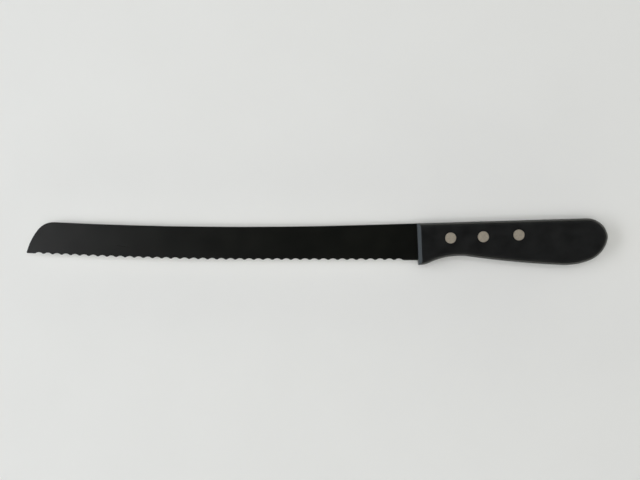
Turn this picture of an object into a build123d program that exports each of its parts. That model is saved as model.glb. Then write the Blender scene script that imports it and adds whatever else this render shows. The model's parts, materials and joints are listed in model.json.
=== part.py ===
from build123d import *
import os
from math import asin, cos, degrees, radians, sin, sqrt

# A bread knife lying on its right side: a long black-coated blade with a scalloped edge, a short
# tang, two handle scales and three two-piece rivets.
# Frame: +X from the tip to the butt, +Y from the cutting edge to the spine, +Z from the right side
# of the knife to its left side. The origin is the centre of the footprint, on the resting surface.

# ---- driving dimensions, millimetres and degrees ----
overall_length = 375.0
handle_length = 119.35

blade_thickness = 1.8
coating = 0.04  # the black coating stops at the handle, so the tang is thinner by this on each side
spine_edge_radius = 0.3
tip_corner_radius = 0.7
tip_corner_trim = 0.2  # length that rounding the corner takes off the tip

edge_y_heel = -11.83  # height of the straight rear part of the cutting edge
edge_bend_x = -30.0  # the edge is straight behind this point and curves up in front of it
edge_curve_radius = 2870.0
spine_y_heel = 11.78  # height of the spine where it meets the handle
spine_straight_length = 38.0  # the spine carries on the handle's top line this far, then curves up
tip_shoulder = (-168.8, 12.84)
tip_upper_radius = 13.6
tip_upper_sweep = 54.4

scallop_count = 40
scallop_pitch = 6.046
scallop_depth = 1.1
scallop_land = 0.7  # straight tip left between two scallops
heel_tooth_x = 59.75  # the last tooth; the heel behind it is neither ground nor scalloped
grind_angle = 18.0  # between the ground grooves and the flat of the blade

scale_thickness = 7.0  # from the side of the blade to the outer face of the scale
handle_edge_radius = 2.8
seam_chamfer = 0.12
bevel_width = 2.25  # of the sloped front end of each scale, seen from the side
bevel_angle = 40.0  # from the outer face of the scale
handle_top_angle = 1.64
handle_top_length = 106.1
# Radius and sweep of each arc round the butt, along the belly, under the finger grip and to the front.
handle_arcs = [(13.05, -79.6), (7, -24.15), (18.5, -56.9), (43, -23.5), (600, -5.5), (44, 33.6), (16, -25.5)]

tang_length = 80.5
tang_shoulder_x = 72.0
tang_neck = (77.5, -5.6)
tang_end_y = -1.0
tang_corner_radius = 3.0
pocket_gap = 0.15  # glue gap round the tang

rivet_centres = {"front": (89.2, 2.4), "middle": (109.7, 3.15), "rear": (131.9, 4.3)}
rivet_head_radius = 3.5
rivet_head_height = 1.75
rivet_head_edge = 0.12
rivet_sink = 0.05  # the heads lie this far below the outer faces
barrel_radius = 2.0
barrel_bore_radius = 1.31
barrel_floor = 1.2  # solid metal below the bore
post_radius = 1.3
end_gap = 0.6  # between the barrel's open end and the post's head
post_gap = 1.0  # between the post's end and the bottom of the bore
head_seat_gap = 0.04
barrel_hole_gap = 0.05
tang_hole_gap = 0.1

# ---- derived places ----
half_length = overall_length / 2
handle_thickness = 2 * scale_thickness + blade_thickness
mid_z = handle_thickness / 2
mid_plane = Plane.XY.offset(mid_z)
tang_thickness = blade_thickness - 2 * coating
seat_depth = rivet_sink + rivet_head_height
spine_front = (half_length - handle_length, spine_y_heel)  # where blade, tang and scales meet
edge_curve_length = edge_bend_x + half_length + tip_corner_trim  # along X
edge_curve_sweep = degrees(asin(edge_curve_length / edge_curve_radius))

# The handle's outline runs along the top, round the butt, and back under the grip to the front end.
with BuildSketch(mid_plane) as handle_outline:
    with BuildLine():
        stretch = PolarLine(spine_front, handle_top_length, handle_top_angle)
        for radius, sweep in handle_arcs:
            stretch = JernArc(stretch @ 1, stretch % 1, radius, sweep)
        front_end = Line(stretch @ 1, spine_front)
    make_face()
front_bottom = front_end @ 0
front_upward = front_end % 0
front_outward = Vector(-front_upward.Y, front_upward.X)


def front_x(y):
    """X of the handle's slightly leaning front end at the height y."""
    return front_bottom.X + (y - front_bottom.Y) * front_upward.X / front_upward.Y


def edge_y(x):
    """Height of the line through the tooth tips."""
    if x > edge_bend_x:
        return edge_y_heel
    return edge_y_heel + edge_curve_radius - sqrt(edge_curve_radius**2 - (x - edge_bend_x) ** 2)


os.makedirs("parts", exist_ok=True)


def save(part, name):
    part.label = name
    export_step(part, f"parts/{name}.step")


# ---- blade with its tang: a flat steel sheet, ground from its right side only ----
# The grooves are round troughs whose direction leans by grind_angle from the blade. Each one breaks
# through the left side as a shallow scallop. The tool's outline is drawn square to the grooves, with
# local y pointing out of the ground side.
slope_sin = sin(radians(grind_angle))
slope_cos = cos(radians(grind_angle))
grind_plane = Plane(origin=(0, 0, mid_z), x_dir=(1, 0, 0), z_dir=(0, slope_cos, -slope_sin))
groove_reach = 35.0
tool_depth = 12.0
tool_start_x = -half_length - 1
clear_of_blade = 1.2  # in blade thicknesses, how far the last groove runs on past the ground side

first_tooth_x = heel_tooth_x - scallop_count * scallop_pitch
groove_rise = scallop_depth * slope_sin
half_scallop = (scallop_pitch - scallop_land) / 2
groove_radius = (half_scallop**2 + groove_rise**2) / (2 * groove_rise)
runout_rise = groove_rise + clear_of_blade * blade_thickness
runout_reach = sqrt(groove_radius**2 - (groove_radius - runout_rise) ** 2)


def on_left_face(x, above_edge=0.0):
    """A point of the blade's left face near the edge, in the grind plane's coordinates."""
    height = edge_y(x) + above_edge
    return (x, -height * slope_sin - blade_thickness / 2 * slope_cos)


with BuildSketch(mid_plane) as tang_outline:
    with BuildLine():
        tang_top = PolarLine(spine_front, tang_length, handle_top_angle)
        FilletPolyline(
            tang_top @ 1,
            ((tang_top @ 1).X, tang_end_y),
            tang_neck,
            (tang_shoulder_x, edge_y_heel),
            radius=tang_corner_radius,
        )
        Polyline((tang_shoulder_x, edge_y_heel), (front_x(edge_y_heel), edge_y_heel), spine_front)
    make_face()

with BuildPart() as blade:
    with BuildSketch(mid_plane):
        with BuildLine():
            heel_line = Line((front_x(edge_y_heel), edge_y_heel), (edge_bend_x, edge_y_heel))
            edge_curve = JernArc(heel_line @ 1, (-1, 0), edge_curve_radius, -edge_curve_sweep)
            spine_rear = PolarLine(spine_front, spine_straight_length, 180 + handle_top_angle)
            spine_curve = TangentArc(spine_rear @ 1, tip_shoulder, tangent=spine_rear % 1)
            tip_upper = JernArc(spine_curve @ 1, spine_curve % 1, tip_upper_radius, tip_upper_sweep)
            TangentArc(tip_upper @ 1, edge_curve @ 1, tangent=tip_upper % 1)
            Line(heel_line @ 0, spine_front)
        make_face()
    extrude(amount=blade_thickness / 2, both=True)
    fillet(blade.edges().filter_by(Axis.Z).sort_by(Axis.X)[0], tip_corner_radius)
    upper_edges = blade.edges().filter_by_position(Axis.Y, spine_y_heel / 2, half_length)
    fillet(upper_edges.filter_by(Plane.XY), spine_edge_radius)

    extrude(tang_outline.sketch, amount=tang_thickness / 2, both=True)

    with BuildSketch(grind_plane):
        with BuildLine():
            tip_start = (tool_start_x, on_left_face(first_tooth_x)[1])
            reached = tip_start
            for i in range(scallop_count):
                middle = first_tooth_x + (i + 0.5) * scallop_pitch
                trough = on_left_face(middle, scallop_depth)
                Line(reached, on_left_face(middle - half_scallop))
                reached = on_left_face(middle + half_scallop)
                ThreePointArc(on_left_face(middle - half_scallop), trough, reached)
            runout = (trough[0] + runout_reach, trough[1] + runout_rise)
            RadiusArc(reached, runout, -groove_radius)
            Polyline(
                runout,
                (runout[0], runout[1] + tool_depth),
                (tip_start[0], runout[1] + tool_depth),
                tip_start,
            )
        make_face()
    extrude(amount=groove_reach, both=True, mode=Mode.SUBTRACT)

    with Locations(*[(x, y, mid_z + blade_thickness) for x, y in rivet_centres.values()]):
        Hole(barrel_radius + tang_hole_gap)

save(blade.part, "blade")


# ---- handle scales: mirror images, each with half of the pocket that takes the tang ----
with BuildPart() as left_scale:
    extrude(handle_outline.sketch, amount=handle_thickness / 2)
    outer_edges = left_scale.edges().group_by(Axis.Z)[-1].sort_by(Axis.X)
    fillet(outer_edges[1:], handle_edge_radius)
    seam_edges = left_scale.edges().group_by(Axis.Z)[0].sort_by(Axis.X)
    chamfer(seam_edges[1:], seam_chamfer)

    bevel_start = Vector(*spine_front) - front_outward * bevel_width
    bevel_normal = front_outward * sin(radians(bevel_angle)) + Vector(0, 0, cos(radians(bevel_angle)))
    bevel_plane = Plane(origin=(bevel_start.X, bevel_start.Y, handle_thickness), z_dir=bevel_normal)
    split(bisect_by=bevel_plane, keep=Keep.BOTTOM)

    with BuildSketch(mid_plane):
        add(tang_outline.sketch_local)
        offset(amount=pocket_gap)
    extrude(amount=tang_thickness / 2, mode=Mode.SUBTRACT)

    with Locations(*[(x, y, handle_thickness) for x, y in rivet_centres.values()]):
        CounterBoreHole(barrel_radius + barrel_hole_gap, rivet_head_radius + head_seat_gap, seat_depth)

with BuildPart() as right_scale:
    add(left_scale.part)
    mirror(about=mid_plane, mode=Mode.REPLACE)

save(left_scale.part, "left_scale")
save(right_scale.part, "right_scale")


# ---- rivets: a barrel pressed in from the right side and a post driven into it from the left ----
barrel_end_z = handle_thickness - seat_depth - end_gap
bore_floor_z = seat_depth + barrel_floor
for place, (x, y) in rivet_centres.items():
    with BuildPart() as barrel:
        with BuildSketch(Plane.XY.offset(rivet_sink)):
            with Locations((x, y)):
                Circle(rivet_head_radius)
        extrude(amount=rivet_head_height)
        chamfer(barrel.edges().group_by(Axis.Z)[0], rivet_head_edge)
        with BuildSketch(Plane.XY.offset(seat_depth)):
            with Locations((x, y)):
                Circle(barrel_radius)
        extrude(amount=barrel_end_z - seat_depth)
        with Locations((x, y, barrel_end_z)):
            Hole(barrel_bore_radius, depth=barrel_end_z - bore_floor_z)
    save(barrel.part, f"{place}_rivet_barrel")

    with BuildPart() as post:
        with BuildSketch(Plane.XY.offset(handle_thickness - seat_depth)):
            with Locations((x, y)):
                Circle(rivet_head_radius)
        extrude(amount=rivet_head_height)
        chamfer(post.edges().group_by(Axis.Z)[-1], rivet_head_edge)
        with BuildSketch(Plane.XY.offset(bore_floor_z + post_gap)):
            with Locations((x, y)):
                Circle(post_radius)
        extrude(amount=handle_thickness - seat_depth - bore_floor_z - post_gap)
    save(post.part, f"{place}_rivet_post")
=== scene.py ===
import json
from math import cos, pi, radians, sin

import bpy
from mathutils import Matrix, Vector


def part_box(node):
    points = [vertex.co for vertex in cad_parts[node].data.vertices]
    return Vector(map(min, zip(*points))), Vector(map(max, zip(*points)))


# A bread knife on a pale table, seen from above. Metres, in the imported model's frame: +X from the
# tip to the butt, +Y from the cutting edge to the spine, +Z from the table up. The knife has one
# rigid body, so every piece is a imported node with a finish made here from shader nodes.

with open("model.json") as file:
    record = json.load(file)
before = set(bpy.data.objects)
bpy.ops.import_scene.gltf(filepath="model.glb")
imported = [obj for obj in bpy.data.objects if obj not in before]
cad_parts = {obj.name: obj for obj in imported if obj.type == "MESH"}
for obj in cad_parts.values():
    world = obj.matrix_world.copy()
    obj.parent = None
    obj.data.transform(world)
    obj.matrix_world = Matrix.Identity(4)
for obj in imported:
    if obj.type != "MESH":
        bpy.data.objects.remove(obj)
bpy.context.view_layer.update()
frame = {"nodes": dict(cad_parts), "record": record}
nodes = frame["nodes"]

MM = 0.001
blade_low, blade_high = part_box("blade")
mid_z = (blade_low.z + blade_high.z) / 2
handle_front_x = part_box("left_scale")[0].x


# ---- shader tools ----
class Finish:
    """A Principled material, with short calls that add nodes to it."""

    def __init__(self, name, **constants):
        self.material = bpy.data.materials.new(name)
        self.material.use_nodes = True
        self.tree = self.material.node_tree
        self.shader = self.tree.nodes["Principled BSDF"]
        self.position = self.node("ShaderNodeTexCoord").outputs["Object"]
        for socket, value in constants.items():
            self.shader.inputs[socket.replace("_", " ")].default_value = value

    def node(self, kind, inputs=(), **settings):
        made = self.tree.nodes.new(kind)
        for setting, value in settings.items():
            setattr(made, setting, value)
        for socket, value in dict(inputs).items():
            self.connect(value, made.inputs[socket])
        return made

    def connect(self, value, socket):
        """Links an output to the socket, or sets the socket to a plain value."""
        if isinstance(value, bpy.types.NodeSocket):
            self.tree.links.new(value, socket)
        else:
            socket.default_value = value

    def drive(self, socket, value):
        self.connect(value, self.shader.inputs[socket])

    def math(self, operation, a, b=0.0):
        return self.node("ShaderNodeMath", {0: a, 1: b}, operation=operation).outputs[0]

    def axis(self, vector, letter):
        return self.node("ShaderNodeSeparateXYZ", {0: vector}).outputs[letter]

    def remap(self, value, low, high, to_low=0.0, to_high=1.0):
        """The value from low..high stretched to to_low..to_high, and held at the ends."""
        inputs = {"Value": value, "From Min": low, "From Max": high, "To Min": to_low, "To Max": to_high}
        return self.node("ShaderNodeMapRange", inputs).outputs["Result"]

    def noise(self, size, detail=3.0, roughness=0.5, grain=(1, 1, 1), turn=0.0, offset=0.0):
        """Noise with features of that size in metres, drawn out along an axis where grain is above 1."""
        spot = self.node(
            "ShaderNodeMapping",
            {"Vector": self.position, "Rotation": (0, 0, turn), "Location": (offset, offset, offset)},
        ).outputs["Vector"]
        scaled = self.node(
            "ShaderNodeVectorMath",
            {0: spot, 1: tuple(1 / (size * g) for g in grain)},
            operation="MULTIPLY",
        ).outputs["Vector"]
        inputs = {"Vector": scaled, "Scale": 1.0, "Detail": detail, "Roughness": roughness}
        return self.node("ShaderNodeTexNoise", inputs).outputs["Fac"]

    def mix(self, factor, a, b):
        """A number between a and b."""
        return self.node("ShaderNodeMix", {"Factor": factor, 2: a, 3: b}, data_type="FLOAT").outputs[0]

    def mix_colour(self, factor, a, b):
        a = a if isinstance(a, bpy.types.NodeSocket) else (*a, 1)
        b = b if isinstance(b, bpy.types.NodeSocket) else (*b, 1)
        return self.node("ShaderNodeMix", {"Factor": factor, 6: a, 7: b}, data_type="RGBA").outputs[2]

    def bump(self, height, distance, strength=1.0, over=None):
        inputs = {"Height": height, "Distance": distance, "Strength": strength}
        if over is not None:
            inputs["Normal"] = over
        return self.node("ShaderNodeBump", inputs).outputs["Normal"]


# ---- finishes ----
# Colours and roughness were adjusted until the tones of the render agreed with those of the photograph
# under the lights below. The black colours are far darker than the real materials.
def scratches(finish, turn, offset):
    """Fine straight scratches in one direction, in patches: 1 on a scratch, 0 elsewhere."""
    width = 0.35 * MM
    stretch = 90
    patch_size = 9 * MM
    streaks = finish.noise(width, detail=1.0, grain=(stretch, 1, 1), turn=turn, offset=offset)
    patches = finish.remap(finish.noise(patch_size, offset=offset), 0.45, 0.65)
    return finish.math("MULTIPLY", finish.remap(streaks, 0.76, 0.82), patches)


def bare_steel_on_blade(finish):
    """1 in the ground grooves and on the tang, 0 on the coating."""
    grind_angle = radians(18)
    groove_slack = 0.12
    groove_top_y = -2 * MM
    coating_end_x = handle_front_x + 0.9 * MM
    # A ground groove is the only surface whose normal is square to the direction of grinding.
    along_grind = finish.node(
        "ShaderNodeVectorMath",
        {
            0: finish.node("ShaderNodeTexCoord").outputs["Normal"],
            1: (0, cos(grind_angle), -sin(grind_angle)),
        },
        operation="DOT_PRODUCT",
    ).outputs["Value"]
    groove = finish.math("LESS_THAN", finish.math("ABSOLUTE", along_grind), groove_slack)
    edge_side = finish.math("LESS_THAN", finish.axis(finish.position, "Y"), groove_top_y)
    tang = finish.math("GREATER_THAN", finish.axis(finish.position, "X"), coating_end_x)
    return finish.math("MAXIMUM", finish.math("MULTIPLY", groove, edge_side), tang)


def coated_blade():
    """Satin black coating, with bare steel where the teeth are ground and on the tang."""
    coat_dark, coat_light = (0.0006, 0.0009, 0.0002), (0.0020, 0.0023, 0.0008)
    speckle_colour = (0.010, 0.010, 0.010)
    steel_dark, steel_light = (0.42, 0.42, 0.41), (0.62, 0.61, 0.59)
    cloud_size, speckle_size, grind_line_width = 14 * MM, 0.22 * MM, 0.07 * MM
    rub_polish = 0.08

    finish = Finish("coated_blade", IOR=1.5)
    bare = bare_steel_on_blade(finish)
    clouds = finish.noise(cloud_size, detail=4.0, roughness=0.6)
    speckle = finish.noise(speckle_size, detail=2.0, roughness=0.7)
    coat = finish.mix_colour(finish.remap(clouds, 0.3, 0.7), coat_dark, coat_light)
    coat = finish.mix_colour(finish.remap(speckle, 0.62, 0.8, 0.0, 0.5), coat, speckle_colour)
    grind_lines = finish.noise(grind_line_width, detail=2.0, roughness=0.6, grain=(1, 60, 60))
    steel = finish.mix_colour(grind_lines, steel_dark, steel_light)
    finish.drive("Base Color", finish.mix_colour(bare, coat, steel))
    finish.drive("Metallic", bare)

    rub = scratches(finish, radians(8), offset=0.3)
    coat_roughness = finish.math(
        "SUBTRACT", finish.remap(clouds, 0.3, 0.7, 0.29, 0.33), finish.math("MULTIPLY", rub, rub_polish)
    )
    steel_roughness = finish.remap(grind_lines, 0.25, 0.75, 0.26, 0.42)
    finish.drive("Roughness", finish.mix(bare, coat_roughness, steel_roughness))
    pebbled = finish.bump(speckle, 0.008 * MM, 0.5)
    ground_lines = finish.math("MULTIPLY", grind_lines, bare)
    finish.drive("Normal", finish.bump(ground_lines, 0.01 * MM, 0.6, over=pebbled))
    return finish.material


def black_scale():
    """Smooth moulded black plastic with a fine leathery grain and faint handling scratches."""
    plastic_dark, plastic_light = (0.0010, 0.0012, 0.0012), (0.0066, 0.0070, 0.0069)
    scratch_colour, scratch_share = (0.03, 0.03, 0.03), 0.35
    cloud_size, grain_size = 8 * MM, 0.45 * MM

    finish = Finish("black_scale", IOR=1.49)
    clouds = finish.noise(cloud_size, detail=4.0, roughness=0.6, offset=0.2)
    grain = finish.noise(grain_size, detail=4.0, roughness=0.65)
    plastic = finish.mix_colour(finish.remap(clouds, 0.3, 0.7), plastic_dark, plastic_light)
    along = scratches(finish, radians(12), offset=0.7)
    across = scratches(finish, radians(-35), offset=1.3)
    rub = finish.math("MAXIMUM", along, across)
    rubbed = finish.mix_colour(finish.math("MULTIPLY", rub, scratch_share), plastic, scratch_colour)
    finish.drive("Base Color", rubbed)
    finish.drive("Roughness", finish.remap(finish.math("ADD", clouds, grain), 0.7, 1.3, 0.33, 0.40))
    grained = finish.bump(grain, 0.012 * MM, 0.5)
    finish.drive("Normal", finish.bump(finish.math("SUBTRACT", 0.0, rub), 0.004 * MM, 0.5, over=grained))
    return finish.material


def rivet_steel():
    """Satin steel rivet heads, belt-ground flush with the handle along its length."""
    steel_dark, steel_light = (0.62, 0.55, 0.45), (0.93, 0.84, 0.69)
    line_width, mottle_size = 0.06 * MM, 1.2 * MM
    line_share = 0.6

    finish = Finish("rivet_steel", Metallic=1.0)
    lines = finish.noise(line_width, detail=3.0, roughness=0.7, grain=(40, 1, 1), turn=radians(3))
    mottle = finish.noise(mottle_size, detail=3.0, offset=0.5)
    tone = finish.math(
        "ADD", finish.math("MULTIPLY", lines, line_share), finish.math("MULTIPLY", mottle, 1 - line_share)
    )
    finish.drive("Base Color", finish.mix_colour(finish.remap(tone, 0.3, 0.7), steel_dark, steel_light))
    finish.drive("Roughness", finish.remap(tone, 0.3, 0.7, 0.50, 0.62))
    finish.drive("Normal", finish.bump(lines, 0.006 * MM, 0.6))
    return finish.material


finishes = {make.__name__: make() for make in (coated_blade, black_scale, rivet_steel)}
for part in frame["record"]["subparts"]:
    nodes[part["node"]].material_slots[0].material = finishes[part["material_slot"]]


# ---- table, light and camera ----
def table_top():
    """A plain pale floor, faintly clouded."""
    reach = 3.0
    finish = Finish("pale_table", Roughness=0.9)
    clouds = finish.noise(60 * MM, detail=3.0)
    finish.drive("Base Color", finish.mix_colour(clouds, (0.80, 0.80, 0.775), (0.83, 0.83, 0.805)))
    mesh = bpy.data.meshes.new("table_top")
    corners = [(-reach, -reach, 0), (reach, -reach, 0), (reach, reach, 0), (-reach, reach, 0)]
    mesh.from_pydata(corners, [], [(0, 1, 2, 3)])
    mesh.materials.append(finish.material)
    top = bpy.data.objects.new("table_top", mesh)
    bpy.context.scene.collection.objects.link(top)


def soft_panel(name, elevation, width, height, brightness, colour=(1.0, 1.0, 1.0)):
    """A rectangular light of even brightness, off the tip at that elevation and facing the knife."""
    distance = 2.0
    above = radians(elevation)
    place = distance * Vector((-cos(above), 0, sin(above)))
    light = bpy.data.lights.new(name, "AREA")
    light.shape = "RECTANGLE"
    light.size, light.size_y = width, height
    light.energy = brightness * pi * width * height
    light.color = colour
    panel = bpy.data.objects.new(name, light)
    panel.location = place
    panel.rotation_euler = place.to_track_quat("Z", "Y").to_euler()
    bpy.context.scene.collection.objects.link(panel)
    return panel


def room():
    """Pale low walls all round, a dark zone above them, two dim rings of ceiling and a dark middle."""
    wall_brightness = 3.2
    wall_colour = (0.98, 1.0, 0.90)
    # Each zone starts at an elevation and has a brightness of its own.
    upper_zones = {12: 0.0, 48: 0.56, 60: 0.18, 75: 0.0}
    world = bpy.data.worlds.new("room")
    world.use_nodes = True
    tree = world.node_tree
    direction = tree.nodes.new("ShaderNodeTexCoord").outputs["Generated"]
    height = tree.nodes.new("ShaderNodeSeparateXYZ")
    tree.links.new(direction, height.inputs[0])
    ramp = tree.nodes.new("ShaderNodeValToRGB")
    tree.links.new(height.outputs["Z"], ramp.inputs["Fac"])
    ramp.color_ramp.interpolation = "CONSTANT"
    stops = ramp.color_ramp.elements
    stops.remove(stops[1])
    stops[0].position, stops[0].color = 0.0, (*wall_colour, 1)
    for elevation, brightness in upper_zones.items():
        tone = brightness / wall_brightness
        stops.new(sin(radians(elevation))).color = (tone, tone, tone, 1)
    background = tree.nodes["Background"].inputs
    tree.links.new(ramp.outputs["Color"], background["Color"])
    background["Strength"].default_value = wall_brightness
    bpy.context.scene.world = world


def studio():
    """A cool window and its sill off the tip, and a soft light overhead."""
    # The brightnesses and colours, here and in room(), started from a fit to the photograph's tones.
    bpy.context.scene.view_settings.view_transform = "Standard"
    room()
    window = {"width": 1.6, "height": 0.62}
    soft_panel("window", 48, **window, brightness=3.95, colour=(0.95, 0.95, 1.0))
    soft_panel("window_sill", 12, **window, brightness=1.45, colour=(0.33, 0.63, 1.0))
    overhead = soft_panel("overhead", 90, width=1.2, height=1.2, brightness=4.05)
    # Kept out of the reflections, as by a black flag above the camera. Reflected, it would turn the
    # black faces grey.
    overhead.visible_glossy = False


def camera():
    """Looks straight down at the blade, leaning a little so that the handle is nearer."""
    lean = radians(3.36)
    distance = 574.6 * MM
    aim = Vector((5.98 * MM, 1.13 * MM, mid_z))
    data = bpy.data.cameras.new("camera")
    data.lens, data.sensor_width = 50, 36
    data.clip_start, data.clip_end = 0.01, 20
    eye = bpy.data.objects.new("camera", data)
    eye.location = aim + distance * Vector((sin(lean), 0, cos(lean)))
    eye.rotation_euler = (0, lean, 0)
    bpy.context.scene.collection.objects.link(eye)
    bpy.context.scene.camera = eye


table_top()
studio()
camera()
